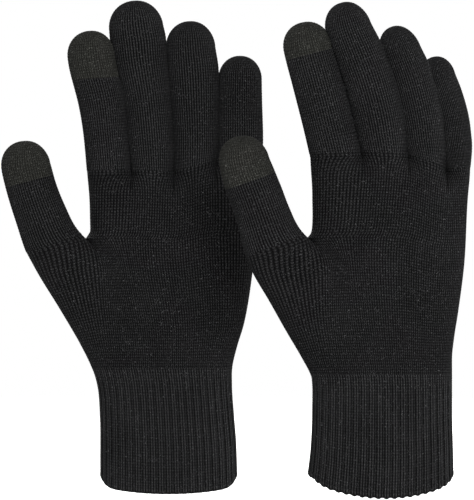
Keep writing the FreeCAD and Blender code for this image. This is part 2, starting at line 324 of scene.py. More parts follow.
def outward_of(points, loop):
    """Unit normals of a grid of points, rows first. A loop's last column joins its first."""
    if loop:
        along = np.roll(points, -1, 1) - np.roll(points, 1, 1)
    else:
        along = np.gradient(points, axis=1)
    up = np.gradient(points, axis=0)
    normal = np.cross(along, up)
    return normal / np.maximum(np.linalg.norm(normal, axis=2, keepdims=True), 1e-9)


# ---- the glove's surface, as grids of points ----

def hand_rows(glove):
    """The hand from the wrist to the finger crotches: front and back points, row by row."""
    top = [glove["edges_at_crotch"][0], *glove["crotches"], glove["edges_at_crotch"][1]]
    top_x, top_z = np.array(top).T
    rows = round((top_z[0] - KNIT_START) / ROW)
    web_x, web_z = glove["thumb_crotch"]
    base_x, base_z = glove["thumb_base"]
    web_row = round(rows * (web_z - KNIT_START) / (top_z[0] - KNIT_START))
    depths = [glove["digits"][f][3] for f in FINGERS]
    crotch_depth = [depths[0], *[(a + b) / 2 for a, b in zip(depths, depths[1:])], depths[-1]]
    top_half = float(smooth(glove["depth"], top_z[0]))
    top_share = [share_at(top_x[0], top_x[4], top_half, x) for x in top_x]
    top_share[0], top_share[4] = 0, 1
    web_half = float(smooth(glove["depth"], web_z))
    web_right = float(smooth(glove["little_edge"], web_z))
    web_share = share_at(base_x, web_right, web_half, web_x)
    body = []
    for r in range(rows + 1):
        rise = r / rows
        low = min(r / web_row, 1)
        heights = KNIT_START + (top_z - KNIT_START) * rise
        half = float(smooth(glove["depth"], heights[1]))
        right = float(smooth(glove["little_edge"], heights[4]))
        borders = mix(np.linspace(0, 1, 5), np.array(top_share), rise)
        shares = spread(borders)
        z = smooth(list(zip(np.arange(5) * COLUMNS, heights)), np.arange(4 * COLUMNS + 1))
        if r <= web_row:
            outer_z = mix(KNIT_START, base_z, low)
            left = float(smooth(glove["thumb_edge"], outer_z))
            border = mix(1 / 5, web_share, low)
            whole = np.concatenate((np.linspace(0, border, COLUMNS + 1)[:-1],
                                    border + (1 - border) * shares))
            below = (web_row - r) * ROW / CREASE_TALL
            bend = WEB_BEND * below * math.exp(1 - below)
            beside = 1 - ease(np.abs(np.arange(5 * COLUMNS + 1) - COLUMNS) / (0.9 * COLUMNS))
            whole = whole + bend * beside
            shares = shares + (beside[COLUMNS:] - (1 - shares)) * bend / (1 - border)
            x5, out5 = half_section(left, right, half, whole)
            border_x, border_z = x5[COLUMNS], z[0]
            closing = pinch(1 - (web_row - r) * ROW / WEB_PINCH)
            near = 1 - ease(np.arange(4 * COLUMNS + 1) / (1.5 * COLUMNS))
            parting = mix(ease(low), closing, near)
            x4, out4 = half_section(border_x, right, half, shares)
            turn = np.linspace(0, math.pi, COLUMNS + 1)
            thumb_x = mix(left, border_x, (1 - np.cos(turn)) / 2)
            thumb_out = (half * THUMB_DEEP) * np.sin(turn)
            x = np.concatenate((mix(x5[:COLUMNS], thumb_x[:-1], closing), mix(x5[COLUMNS:], x4, parting)))
            out = np.concatenate((mix(out5[:COLUMNS], thumb_out[:-1], closing),
                                  mix(out5[COLUMNS:], out4, parting)))
            span = np.clip((border_x - x[:COLUMNS]) / (border_x - left), 0, 1)
            thumb_z = border_z - (border_z - outer_z) * span ** mix(THUMB_SAG, 1.0, ease(low))
            thumb_mid = closing * glove["digits"]["thumb"][3] * 0.5 * span
            z = np.concatenate((thumb_z, z))
            mid = np.concatenate((thumb_mid, np.zeros(4 * COLUMNS + 1)))
        else:
            left = float(smooth(glove["index_edge"], heights[0]))
            x, out = half_section(left, right, half, shares)
            closing = pinch(1 - (rows - r) * ROW / PINCH)
            middles = list(zip(np.arange(5) * COLUMNS, crotch_depth))
            mid = closing * smooth(middles, np.arange(4 * COLUMNS + 1))
            if closing > 0:
                for f in range(4):
                    part = slice(f * COLUMNS, (f + 1) * COLUMNS + 1)
                    turn = np.linspace(0, math.pi, COLUMNS + 1)
                    ends = x[f * COLUMNS], x[(f + 1) * COLUMNS]
                    lobe_x = mix(ends[0], ends[1], (1 - np.cos(turn)) / 2)
                    lobe_out = CROTCH_HALF[FINGERS[f]] * np.sin(turn)
                    inner = slice(f * COLUMNS + 1, (f + 1) * COLUMNS)
                    x[inner] = mix(x[inner], lobe_x[1:-1], closing)
                    out[part] = mix(out[part], lobe_out, closing)
                    share = (x[part] - ends[0]) / (ends[1] - ends[0])
                    z[part] = mix(z[part], mix(heights[f], heights[f + 1], share), closing)
        body.append(np.stack((x, out, z, mid), 1))
    return body, web_row, rows


def digit_rows(glove, name, start):
    """A digit from its crotch row to its tip. start is that row, as (x, distance, z, middle)."""
    stations, tip, half, depth, touch_from = glove["digits"][name]
    first, last = start[0], start[-1]
    left, right = first[[0, 2]], last[[0, 2]]
    centre = (left + right) / 2
    start_half = start[:, 1].max()
    line = np.array([centre, *[s[:2] for s in stations], tip])
    widths = [np.linalg.norm(right - left) / 2, *[s[2] for s in stations]]
    along = np.concatenate(([0], np.cumsum(np.linalg.norm(np.diff(line, axis=0), axis=1))))
    dome, end = along[-2], along[-1]
    count = round(dome / ROW)
    cap = round((end - dome) * 1.57 / ROW)
    place = np.concatenate((np.linspace(0, dome, count + 1),
                            dome + (end - dome) * np.sin(np.linspace(0, math.pi / 2, cap + 1)[1:])))
    x = smooth(list(zip(along, line[:, 0])), place)
    z = smooth(list(zip(along, line[:, 1])), place)
    wide = smooth(list(zip(along[:-1], widths)), place)
    deep = mix(start_half, half, ease(place / DEPTH_RUN))
    closing = np.sqrt(np.clip(1 - ((place - dome) / (end - dome)).clip(0) ** 2, 0, 1))
    wide, deep = wide * closing, deep * closing
    run = np.stack((np.gradient(x, place), np.gradient(z, place)), 1)
    run = run / np.linalg.norm(run, axis=1, keepdims=True)
    for _ in range(12):
        run[1:-1] = (run[:-2] + run[1:-1] * 2 + run[2:]) / 4
    square = np.stack((run[:, 1], -run[:, 0]), 1)
    level = (right - left) / np.linalg.norm(right - left)
    turned = ease(place / SQUARE_RUN)
    if glove["level_border"] == name:
        turned = turned * (1 - 0.8 * np.exp(-((z - touch_from) / 9) ** 2))
    across = mix(level, square, turned[:, None])
    across = across / np.linalg.norm(across, axis=1, keepdims=True)
    curl = glove["palm_side"] * CURL * (place / end) ** 2
    start_mid = (first[3] + last[3]) / 2
    middle = mix(start_mid, depth, ease(place / (DEPTH_RUN + 1))) + curl
    tilt = (last[3] - first[3]) / 2 * (1 - ease(place / TILT_RUN))
    turn = np.linspace(0, math.pi, COLUMNS + 1)
    u = -np.cos(turn)
    px = x[:, None] + wide[:, None] * across[:, :1] * u
    pz = z[:, None] + wide[:, None] * across[:, 1:] * u
    mid = middle[:, None] + tilt[:, None] * u
    out = deep[:, None] * np.sin(turn)
    return np.stack((px, out, pz, mid), 2)


def part_fingers(glove, digits):
    """Flattens neighbouring fingers against each other, on a plane that leans under the front one."""
    for pair, (a, b) in enumerate(zip(FINGERS, FINGERS[1:])):
        one, two = digits[a]["rows"][:, -1], digits[b]["rows"][:, 0]
        crotch_z = glove["crotches"][pair][1]
        heights = np.linspace(crotch_z, 190, 400)
        edge, mids = [
            (np.interp(heights, one[:, 2], one[:, i]) + np.interp(heights, two[:, 2], two[:, i])) / 2
            for i in (0, 3)]
        for name, way in ((a, 1), (b, -1)):
            for sheet in ("front", "back"):
                p = digits[name][sheet]
                above = p[:, :, 2] - crotch_z
                level = np.interp(p[:, :, 2], heights, edge)
                middle = np.interp(p[:, :, 2], heights, mids)
                lean = glove["lean_in"][pair] * (p[:, :, 1] - middle) * ease(above / LEAN_RUN)
                room = GAP / 2 * np.clip(above / 3, 0, 1)
                limit = way * (level + lean) - room
                over = (above > 0) & (way * p[:, :, 0] > limit)
                p[:, :, 0] = np.where(over, way * limit, p[:, :, 0])


def glove_surface(glove):
    """All the grids of one glove: the hand's front and back sheets and a loop of points for each digit."""
    body, web_row, rows = hand_rows(glove)
    digits = {}
    for name in ("thumb", *FINGERS):
        if name == "thumb":
            row = body[web_row][:COLUMNS + 1]
            first_course = web_row
        else:
            f = FINGERS.index(name)
            row = body[rows][f * COLUMNS:(f + 1) * COLUMNS + 1]
            first_course = rows
        grid = digit_rows(glove, name, row)
        front = np.stack((grid[:, :, 0], grid[:, :, 3] - grid[:, :, 1], grid[:, :, 2]), 2)
        back = np.stack((grid[:, :, 0], grid[:, :, 3] + grid[:, :, 1], grid[:, :, 2]), 2)
        digits[name] = {"rows": grid, "front": front, "back": back, "course": first_course}
    part_fingers(glove, digits)
    for d in digits.values():
        d["loop"] = np.concatenate((d["front"], d["back"][:, -2:0:-1]), 1)
        d["outward"] = outward_of(d["loop"], True)
        tip = d["loop"][-1, 0] - d["loop"][-8].mean(0)
        d["outward"][-1] = tip / np.linalg.norm(tip)
    return body, web_row, rows, digits


# ---- turning grids into meshes ----

class Knit:
    """Collects grids of points and joins them, where their edges coincide, into one closed mesh."""

    def __init__(self):
        self.points, self.outward, self.knit, self.rib = [], [], [], []
        self.uv, self.layer, self.quads = [], [], []
        self.count = 0

    def grid(self, points, outward, wale, course, strength=1.0, rib=None, flip=False, layer=0):
        rows, columns = points.shape[:2]
        u = np.broadcast_to(np.asarray(wale, float), (rows, columns))
        v = np.broadcast_to(np.asarray(course, float)[:, None], (rows, columns))
        power = np.broadcast_to(np.asarray(strength, float), (rows, columns))
        ribs = np.zeros((rows, columns, 3)) if rib is None else rib
        layers = np.broadcast_to(np.asarray(layer).reshape(-1, 1), (rows, columns))
        index = self.count + np.arange(rows * columns).reshape(rows, columns)
        quads = np.stack((index[:-1, :-1], index[:-1, 1:], index[1:, 1:], index[1:, :-1]), 2).reshape(-1, 4)
        self.quads.append(quads[:, ::-1] if flip else quads)
        self.points.append(points.reshape(-1, 3))
        self.outward.append(outward.reshape(-1, 3))
        self.knit.append(np.stack((u % 1.0, v, power), 2).reshape(-1, 3))
        self.rib.append(ribs.reshape(-1, 3))
        self.uv.append(np.stack((u, v), 2).reshape(-1, 2))
        self.layer.append(layers.reshape(-1))
        self.count += rows * columns

    def rim(self, outer, inner, wale, flip):
        """The narrow band between the outer and the inner wall at a ring."""
        band = np.stack((outer, inner))
        self.grid(band, np.zeros_like(band), wale, [0, 1], 0, flip=flip, layer=[0, 1])

    def build(self, name, placement):
        points = np.concatenate(self.points)
        keys = np.column_stack((np.round(points, 4), np.concatenate(self.layer)))
        _, first, back = np.unique(keys, axis=0, return_index=True, return_inverse=True)
        order = np.argsort(first)
        rank = np.empty(len(order), int)
        rank[order] = np.arange(len(order))
        kept, where = first[order], rank[back.reshape(-1)]
        quads = np.concatenate(self.quads)
        uv = np.concatenate(self.uv)[quads]
        joined = where[quads]
        whole = np.array([len(set(q)) == 4 for q in joined.tolist()])
        faces, corner_uv = [q for q in joined[whole].tolist()], [uv[whole].reshape(-1, 2)]
        for quad, quad_uv in zip(joined[~whole].tolist(), uv[~whole]):
            keep = [i for i in range(4) if quad[i] != quad[i - 1]]
            if len(set(quad)) == 3 and len(keep) == 3:
                faces.append([quad[i] for i in keep])
                corner_uv.append(quad_uv[keep])
        mesh = bpy.data.meshes.new(name)
        mesh.from_pydata(placement(points[kept]).tolist(), [], faces)
        corners = np.concatenate(corner_uv).astype(np.float32)
        mesh.uv_layers.new(name="knit").data.foreach_set("uv", corners.ravel())
        directions = placement(np.concatenate(self.outward)[kept], True)
        for label, values in (("outward", directions), ("stitch", np.concatenate(self.knit)[kept]),
                              ("rib", np.concatenate(self.rib)[kept])):
            attribute = mesh.attributes.new(label, "FLOAT_VECTOR", "POINT")
            attribute.data.foreach_set("vector", values.astype(np.float32).ravel())
        mesh.polygons.foreach_set("use_smooth", np.ones(len(mesh.polygons), bool))
        made = bpy.data.objects.new(name, mesh)
        bpy.context.scene.collection.objects.link(made)
        return made


def placement_of(glove):
    """Turns a glove's own millimetres into the frame's metres, from where its wrist hinge is."""
    joint = next(j for j in frame["joints"] if j["name"] == glove["side"] + "_wrist_bend")
    across = -glove["palm_side"] * np.array(joint["axis"])
    basis = np.array([across, np.cross((0, 0, 1), across), (0, 0, 1)])
    origin = np.array(joint["pos_m"])

    def place(points, direction=False):
        turned = np.asarray(points) @ basis
        return turned if direction else origin + turned * MM
    return place


# ---- node trees ----

class Value:
    """A socket whose arithmetic adds Math nodes to its tree."""

    def __init__(self, tree, socket):
        self.tree, self.socket = tree, socket

    def math(self, operation, *others):
        return self.tree.add("ShaderNodeMath", {"operation": operation},
                             dict(enumerate((self, *others))))

    def __add__(self, other):
        return self.math("ADD", other)

    def __radd__(self, other):
        return self.math("ADD", other)

    def __sub__(self, other):
        return self.math("SUBTRACT", other)

    def __rsub__(self, other):
        return self.tree.add("ShaderNodeMath", {"operation": "SUBTRACT"}, {0: other, 1: self})

    def __mul__(self, other):
        return self.math("MULTIPLY", other)

    def __rmul__(self, other):
        return self.math("MULTIPLY", other)

    def __abs__(self):
        return self.math("ABSOLUTE")

    def cosine(self):
        return self.math("COSINE")

    def fraction(self):
        return self.math("FRACT")

    def least(self, other):
        return self.math("MINIMUM", other)

    def most(self, other):
        return self.math("MAXIMUM", other)


class Tree:
    """Adds nodes to a node tree, each from its type, settings and socket values or links."""

    def __init__(self, tree):
        self.tree = tree

    def add(self, kind, settings=None, sockets=None, output=0):
        node = self.tree.nodes.new(kind)
        for name, value in (settings or {}).items():
            if name == "stops":
                ramp = node.color_ramp
                while len(ramp.elements) < len(value):
                    ramp.elements.new(0.5)
                for element, (place, colour) in zip(ramp.elements, value):
                    element.position, element.color = place, colour
            else:
                setattr(node, name, value)
        for name, value in (sockets or {}).items():
            if isinstance(value, Value):
                self.tree.links.new(value.socket, node.inputs[name])
            elif value is not None:
                node.inputs[name].default_value = value
        return Value(self, node.outputs[output]) if node.outputs else node


def geometry_tree(name, inputs):
    """An empty geometry tree with a geometry, the named inputs and a material."""
    group = bpy.data.node_groups.new(name, "GeometryNodeTree")
    group.interface.new_socket("Geometry", in_out="INPUT", socket_type="NodeSocketGeometry")
    for label, default in inputs.items():
        socket = group.interface.new_socket(label, in_out="INPUT", socket_type="NodeSocketFloat")
        socket.default_value = default
    group.interface.new_socket("Material", in_out="INPUT", socket_type="NodeSocketMaterial")
    group.interface.new_socket("Geometry", in_out="OUTPUT", socket_type="NodeSocketGeometry")
    tree = Tree(group)
    source = group.nodes.new("NodeGroupInput")
    given = {label: Value(tree, source.outputs[label]) for label in ("Geometry", *inputs, "Material")}
    return tree, given


def close_tree(tree, geometry, material):
    """Ends a geometry tree: instances become real and the piece gets its material."""
    real = tree.add("GeometryNodeRealizeInstances", sockets={0: geometry})
    done = tree.add("GeometryNodeSetMaterial", sockets={"Geometry": real, "Material": material})
    end = tree.tree.nodes.new("NodeGroupOutput")
    tree.tree.links.new(done.socket, end.inputs[0])
    return tree.tree


def make_relief_tree():
    """Raises the yarn legs, the courses and the ribs of a knit from its stitch and rib attributes."""
    sizes = {"Leg Relief": 0, "Wale Relief": 0, "Loop Relief": 0, "Rib Depth": 0}
    tree, given = geometry_tree("knit_relief", sizes)
    stitch, rib, outward = [
        tree.add("GeometryNodeInputNamedAttribute", {"data_type": "FLOAT_VECTOR"}, {"Name": label})
        for label in ("stitch", "rib", "outward")]
    wale, course, strength = [
        tree.add("ShaderNodeSeparateXYZ", sockets={0: stitch}, output=i) for i in range(3)]
    phase, furrowed = [tree.add("ShaderNodeSeparateXYZ", sockets={0: rib}, output=i) for i in range(2)]
    legs = 0.5 - 0.5 * (wale * (4 * math.pi)).cosine()
    whole = 0.5 - 0.5 * (wale * (2 * math.pi)).cosine()
    loops = 0.5 + 0.5 * (course * (2 * math.pi)).cosine()
    columns = given["Leg Relief"] * legs + given["Wale Relief"] * whole
    fine = strength * (columns + given["Loop Relief"] * legs * loops)
    from_furrow = ((phase.fraction() - 5 / 6) * 2.7).most(-0.5).least(0.5)
    furrow = 0.5 + 0.5 * (from_furrow * (2 * math.pi)).cosine()
    height = fine - given["Rib Depth"] * furrowed * furrow
    offset = tree.add("ShaderNodeVectorMath", {"operation": "SCALE"}, {0: outward, "Scale": height})
    raised = tree.add("GeometryNodeSetPosition", sockets={"Geometry": given["Geometry"], "Offset": offset})
    return close_tree(tree, raised, given["Material"])


def make_thread_tree():
    """Turns a loop of edges into a round thread."""
    tree, given = geometry_tree("round_thread", {"Thread Radius": 0.0004})
    line = tree.add("GeometryNodeMeshToCurve", sockets={"Mesh": given["Geometry"]})
    ring = tree.add("GeometryNodeCurvePrimitiveCircle",
                    sockets={"Resolution": 8, "Radius": given["Thread Radius"]})
    tube = tree.add("GeometryNodeCurveToMesh", sockets={"Curve": line, "Profile Curve": ring})
    soft = tree.add("GeometryNodeSetShadeSmooth", sockets={"Geometry": tube})
    return close_tree(tree, soft, given["Material"])


def grown(piece, tree, material, **sizes):
    """Runs a geometry tree on a piece and keeps the result as its plain mesh."""
    modifier = piece.modifiers.new(tree.name, "NODES")
    modifier.node_group = tree
    values = {label.replace("_", " ").title(): size for label, size in sizes.items()}
    values["Material"] = material
    for item in tree.interface.items_tree:
        if item.in_out == "INPUT" and item.name in values:
            modifier[item.identifier] = values[item.name]
    bpy.context.view_layer.update()
    evaluated = piece.evaluated_get(bpy.context.evaluated_depsgraph_get())
    mesh = bpy.data.meshes.new_from_object(evaluated, preserve_all_data_layers=True,
                                           depsgraph=bpy.context.evaluated_depsgraph_get())
    piece.modifiers.clear()
    mesh.name = piece.name
    piece.data = mesh
    for label in ("outward", "stitch", "rib"):
        if label in mesh.attributes:
            mesh.attributes.remove(mesh.attributes[label])
    mesh.set_sharp_from_angle(angle=math.radians(75))
    return piece


# ---- materials ----

def new_material(name):
    """An empty material and its tree."""
    material = bpy.data.materials.new(name)
    material.use_nodes = True
    material.node_tree.nodes.clear()
    return material, Tree(material.node_tree)


def knit_material(name, dark, light, ridges, share, rib=0.0, fleck=0.1, grain=0.5, soft=0.35):
    """Knitted yarn: so many ridges to a knit column, uneven yarn, painted shade in the low gaps between the yarn legs
    and in the rib furrows, and a few pale fibres.
    """
    material, tree = new_material(name)
    uv = tree.add("ShaderNodeUVMap", {"uv_map": "knit"})
    wale, course = [tree.add("ShaderNodeSeparateXYZ", sockets={0: uv}, output=i) for i in range(2)]
    place = tree.add("ShaderNodeTexCoord", output=3)
    across = abs(2 * (wale * ridges).fraction() - 1)
    ridge = 0.5 - 0.5 * (wale * (2 * math.pi * ridges)).cosine()
    loops = 0.5 + 0.5 * ((course - 0.4 * across) * (2 * math.pi)).cosine()
    height = ridge * ((1 - share) + share * loops)
    yarn, patch, fibre = [
        tree.add("ShaderNodeTexNoise",
                 sockets={"Vector": place, "Scale": scale, "Detail": detail, "Roughness": rough})
        for scale, detail, rough in ((YARN, 3, 0.6), (PATCH, 2, 0.5), (FIBRE, 2, 0.7))]
    # Base colour: darker where the yarn lies low between its legs and courses, which is painted shade in the knit's
    # hollows, plus the yarn's own uneven tone.
    shade = 0.1 + 0.9 * height + grain * (yarn - 0.5) + 0.3 * (patch - 0.5)
    # Painted shade in the rib furrows: the base colour darkens along every third knit column, where the rib dips.
    if rib:
        from_furrow = (((wale * (1 / 3)).fraction() - 5 / 6) * 2.2).most(-0.5).least(0.5)
        furrow = 0.5 + 0.5 * (from_furrow * (2 * math.pi)).cosine()
        shade = shade * (1 - rib * furrow * (1.3 - 0.6 * loops))
    # Steepens the painted shade, so the hollows are darker against the tops of the yarn.
    shade = shade * (soft + (1 - soft) * shade)
    base = tree.add("ShaderNodeMix", {"data_type": "RGBA"},
                    {0: shade.most(0).least(1), 6: (*dark, 1), 7: (*light, 1)}, output=2)
    stray = ((fibre - (FIBRE_SHOWS - fleck)) * 9).most(0).least(1)
    pale = [min(1, c * 2.5 + 0.004) for c in light]
    colour = tree.add("ShaderNodeMix", {"data_type": "RGBA"}, {0: stray, 6: base, 7: (*pale, 1)}, output=2)
    dull = 0.9 + 0.1 * (yarn - 0.5)
    relief = tree.add("ShaderNodeBump", sockets={"Strength": 0.7, "Distance": 0.0004,
                                                 "Height": height + 0.4 * yarn})
    shader = tree.add("ShaderNodeBsdfPrincipled", sockets={
        "Base Color": colour, "Roughness": dull, "Normal": relief, "Specular IOR Level": 0.05,
        "Sheen Weight": 0.02, "Sheen Roughness": 0.4, "Sheen Tint": (0.85, 0.87, 0.9, 1)})
    tree.add("ShaderNodeOutputMaterial", sockets={"Surface": shader})
    return material


def thread_material():
    """Smooth rubber thread wound with fine yarn."""
    material, tree = new_material("elastic_thread")
    place = tree.add("ShaderNodeTexCoord", output=3)
    wrap = tree.add("ShaderNodeTexNoise", sockets={"Vector": place, "Scale": 1400, "Detail": 2})
    colour = tree.add("ShaderNodeMix", {"data_type": "RGBA"},
                      {0: wrap, 6: (0.012, 0.012, 0.013, 1), 7: (0.05, 0.05, 0.053, 1)}, output=2)
    relief = tree.add("ShaderNodeBump", sockets={"Strength": 0.5, "Distance": 0.0002, "Height": wrap})
    shader = tree.add("ShaderNodeBsdfPrincipled", sockets={"Base Color": colour, "Roughness": 0.55,
                                                           "Normal": relief})
    tree.add("ShaderNodeOutputMaterial", sockets={"Surface": shader})
    return material


# DEEP is the colour at the bottom of the knit's hollows, which is painted shade.
DEEP = (0.0016, 0.0016, 0.0017)
PLAIN = knit_material("hand_knit", DEEP, (0.031, 0.031, 0.0318), ridges=1, share=0.7, soft=0.25)
STRETCHED = knit_material("finger_knit", DEEP, (0.034, 0.034, 0.0349), ridges=2, share=0.4, soft=0.0)
# rib=0.25 sets how dark the painted shade in the rib furrows is.
RIBBED = knit_material("rib_knit", DEEP, (0.040, 0.040, 0.041), ridges=1, share=0.5, rib=0.25)
# The conductive knit's dark colour is likewise painted shade in its hollows.
CONDUCTIVE = knit_material("conductive_knit", (0.009, 0.009, 0.0079), (0.039, 0.0394, 0.0352), ridges=2,
                           share=0.6, fleck=0.12, grain=0.9)
THREAD = thread_material()
RELIEF = make_relief_tree()
ROUND_THREAD = make_thread_tree()


# ---- the pieces ----

def thinned(count, step):
    """Row numbers from 0 to count, every step rows, with both ends."""
    return np.unique(np.concatenate((np.arange(0, count, step), [count])))


def strength_of(points):
    """How strong the relief is: full on wide columns, fading where they draw together at a tip."""
    width = np.linalg.norm(np.gradient(points, axis=1), axis=2)
    return np.clip(width / 0.3, 0, 1)


def sheet_pair(digit, rows):
    """The front and back of a digit's rows, with their normals."""
    back_columns = np.concatenate(([0], np.arange(2 * COLUMNS - 1, COLUMNS - 1, -1)))
    outward = digit["outward"][rows]
    return ((digit["front"][rows], outward[:, :COLUMNS + 1]),
            (digit["back"][rows], outward[:, back_columns]))


def digit_wales(name):
    return (0 if name == "thumb" else 1 + FINGERS.index(name)) * WALES + np.arange(COLUMNS + 1) / PER_WALE


def add_digit(knit, digit, name, first, last):
    """Outer and inner walls of a digit between two rows, and the rims that close them."""
    end = len(digit["front"]) - 1
    wale = digit_wales(name)
    rows = np.arange(first, last + 1)
    sparse = first + thinned(last - first, 9)
    for sheet, flip in enumerate((False, True)):
        points, outward = sheet_pair(digit, rows)[sheet]
        shift = 5 * WALES * 2 * sheet
        courses = (digit["course"] + rows) / 2
        knit.grid(points, outward, wale + shift, courses, strength_of(points), flip=flip)
    for sheet, flip in enumerate((True, False)):
        points, outward = sheet_pair(digit, sparse)[sheet]
        inner = points - outward * WALL
        knit.grid(inner, outward, wale, (digit["course"] + sparse) / 2, 0, flip=flip, layer=1)
        for row, closes in ((0, True), (-1, last < end)):
            if closes:
                turned = (sheet == 0) == (row == 0)
                knit.rim(points[row], inner[row], wale, flip=turned)


def hand_sheets(body, web_row, rows):
    """The hand's sheets below and above the thumb's crotch, with their normals and wall thickness."""
    blocks = []
    for first, last, start in ((0, web_row, 0), (web_row, rows, COLUMNS)):
        grid = np.array([row[-(5 * COLUMNS + 1 - start):] for row in body[first:last + 1]])
        x, out, z, mid = np.moveaxis(grid, 2, 0)
        for way in (-1, 1):
            points = np.stack((x, mid + way * out, z), 2)
            outward = outward_of(points, False) * -way
            outward[:, [0, -1], 1] = 0
            outward = outward / np.maximum(np.linalg.norm(outward, axis=2, keepdims=True), 1e-9)
            blocks.append({"points": points, "outward": outward, "out": out, "start": start,
                           "rows": np.arange(first, last + 1), "way": way})
    for low, high in zip(blocks[:2], blocks[2:]):
        shared = low["outward"][-1, COLUMNS:] + high["outward"][0]
        shared = shared / np.linalg.norm(shared, axis=1, keepdims=True)
        low["outward"][-1, COLUMNS:] = shared
        high["outward"][0] = shared
    for block in blocks:
        limit = 0.45 * block["out"] / np.maximum(np.abs(block["outward"][:, :, 1]), 1e-3)
        wall = np.minimum(WALL, limit)
        wall[:, [0, -1]] = WALL
        if block["start"]:
            wall[0, 0] = 0
        block["inner"] = block["points"] - block["outward"] * wall[:, :, None]
    return blocks


def make_hand(glove, body, web_row, rows, digits, place):
    """The palm and back of the hand, up to a short stub of every digit."""
    knit = Knit()
    blocks = hand_sheets(body, web_row, rows)
    for block in blocks:
        columns = block["points"].shape[1]
        wale = (block["start"] + np.arange(columns)) / HAND_PER_WALE
        knit.grid(block["points"], block["outward"], wale, block["rows"] / 2, strength_of(block["points"]),
                  flip=block["way"] > 0)
    for name, digit in digits.items():
        add_stub(knit, digit, name)
    for block in blocks:
        keep = thinned(len(block["rows"]) - 1, 8)
        wale = np.arange(block["points"].shape[1]) / PER_WALE
        knit.grid(block["inner"][keep], block["outward"][keep], wale, block["rows"][keep] / 2, 0,
                  flip=block["way"] < 0, layer=1)
    for block in blocks[:2]:
        knit.rim(block["points"][0], block["inner"][0], np.arange(5 * COLUMNS + 1) / PER_WALE,
                 flip=block["way"] < 0)
    for name, digit in digits.items():
        close_stub(knit, digit, name, blocks)
    return knit.build(glove["side"] + "_hand_knit", place)


def add_stub(knit, digit, name):
    """The outside of a digit's first rows, which are knitted on to the hand."""
    rows = np.arange(STUB_ROWS + 1)
    for sheet, flip in enumerate((False, True)):
        points, outward = sheet_pair(digit, rows)[sheet]
        wale = digit_wales(name) * PER_WALE / HAND_PER_WALE
        courses = (digit["course"] + rows) / 2
        knit.grid(points, outward, wale, courses, strength_of(points), flip=flip)


def close_stub(knit, digit, name, blocks):
    """The inside of a stub, from the hand's inner wall to the ring where the digit's piece starts."""
    f = 0 if name == "thumb" else FINGERS.index(name)
    for sheet in (0, 1):
        block = blocks[sheet + (0 if name == "thumb" else 2)]
        base = block["inner"][-1, f * COLUMNS:(f + 1) * COLUMNS + 1]
        points, outward = sheet_pair(digit, np.array([0, STUB_ROWS]))[sheet]
        inner = np.stack((base, points[1] - outward[1] * WALL))
        knit.grid(inner, outward, digit_wales(name), [0, 1], 0, flip=sheet == 0, layer=1)
        knit.rim(points[1], inner[1], digit_wales(name), flip=sheet == 1)


def make_digit_pieces(glove, digits, place):
    """A lower piece over each knuckle, an upper one over each fold, and the conductive ends."""
    side = glove["side"]
    for name, digit in digits.items():
        tip_row = len(digit["front"]) - 1
        centres = digit["loop"].mean(1)
        fold = next(j for j in frame["joints"] if j["name"] == f"{side}_{name}_fold")
        fold_height = fold["pos_m"][2] / MM - place(np.zeros(3))[2] / MM
        lag = THUMB_LAG if name == "thumb" else FOLD_LAG
        joint_row = int(np.argmin(abs(centres[:, 2] - (fold_height - lag))))
        touch_from = glove["digits"][name][4]
        touch_row = tip_row if touch_from is None else int(np.argmin(abs(centres[:, 2] - touch_from)))
        lower, upper = Knit(), Knit()
        add_digit(lower, digit, name, STUB_ROWS, joint_row)
        add_digit(upper, digit, name, joint_row, touch_row)
        bodies = [f"{side}_hand", f"{side}_{name}_lower", f"{side}_{name}_end"]
        nodes = [[f"{side}_{name}_lower"], [f"{side}_{name}_bend"]]
        if name == "index":
            nodes[1].append(f"{side}_index_upper")
        elif name != "thumb":
            nodes[1].append(f"{side}_{name}_tip")
        labels = ["lower", "middle" if name == "thumb" else "upper"]
        spans = [(STUB_ROWS, joint_row), (joint_row, touch_row)]
        pairs = zip(bodies, bodies[1:])
        for knit, label, span, pair, stands_for in zip((lower, upper), labels, spans, pairs, nodes):
            piece = knit.build(f"{side}_{name}_{label}_knit", place)
            grown(piece, RELIEF, STRETCHED, leg_relief=LEG_RELIEF * MM, loop_relief=LOOP_RELIEF * MM)
            whole = touch_from is not None and label != "lower"
            bend_between(piece, digit, span, centres, pair, place, whole)
            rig.replaces(piece, *stands_for)
            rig.slot(piece, "black_knit")
        if touch_from is not None:
            touch = Knit()
            add_digit(touch, digit, name, touch_row, tip_row)
            piece = touch.build(f"{side}_{name}_touch_knit", place)
            grown(piece, RELIEF, CONDUCTIVE, leg_relief=LEG_RELIEF * MM, loop_relief=LOOP_RELIEF * MM)
            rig.ride(piece, bodies[2])
            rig.replaces(piece, f"{side}_{name}_touch_tip")
            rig.slot(piece, "conductive_knit")


def bend_between(piece, digit, span, centres, pair, place, whole):
    """Blends a piece from its first ring to its last, or over the length that a finger needs to fold."""
    first, last = span
    axis = centres[min(last, first + 24)] - centres[first]
    axis = axis / np.linalg.norm(axis)
    start = (digit["loop"][first] @ axis).max() + 0.2
    end = (digit["loop"][last] @ axis).min() - 0.2
    if not whole and last - first > 40:
        end = min(end, start + FOLD_LENGTH)
    base = centres[first] - axis * (centres[first] @ axis)
    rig.blend(piece, *pair, start=place(base + axis * start), end=place(base + axis * end))


def hem_height(glove, x, left, right, behind):
    """Height of the hem's lowest edge: a bow turning up at both corners, flatter behind."""
    hem = glove["hem"]
    u = np.abs((x - (left + right) / 2) / ((right - left) / 2)).clip(0, 1)
    rise = hem["bow"] * (u ** 2 - 1) + hem["corner"] * (u ** hem["power"] - 1)
    return hem["low"] + hem["bow"] + hem["corner"] + rise * np.where(behind, HEM_BEHIND, 1)


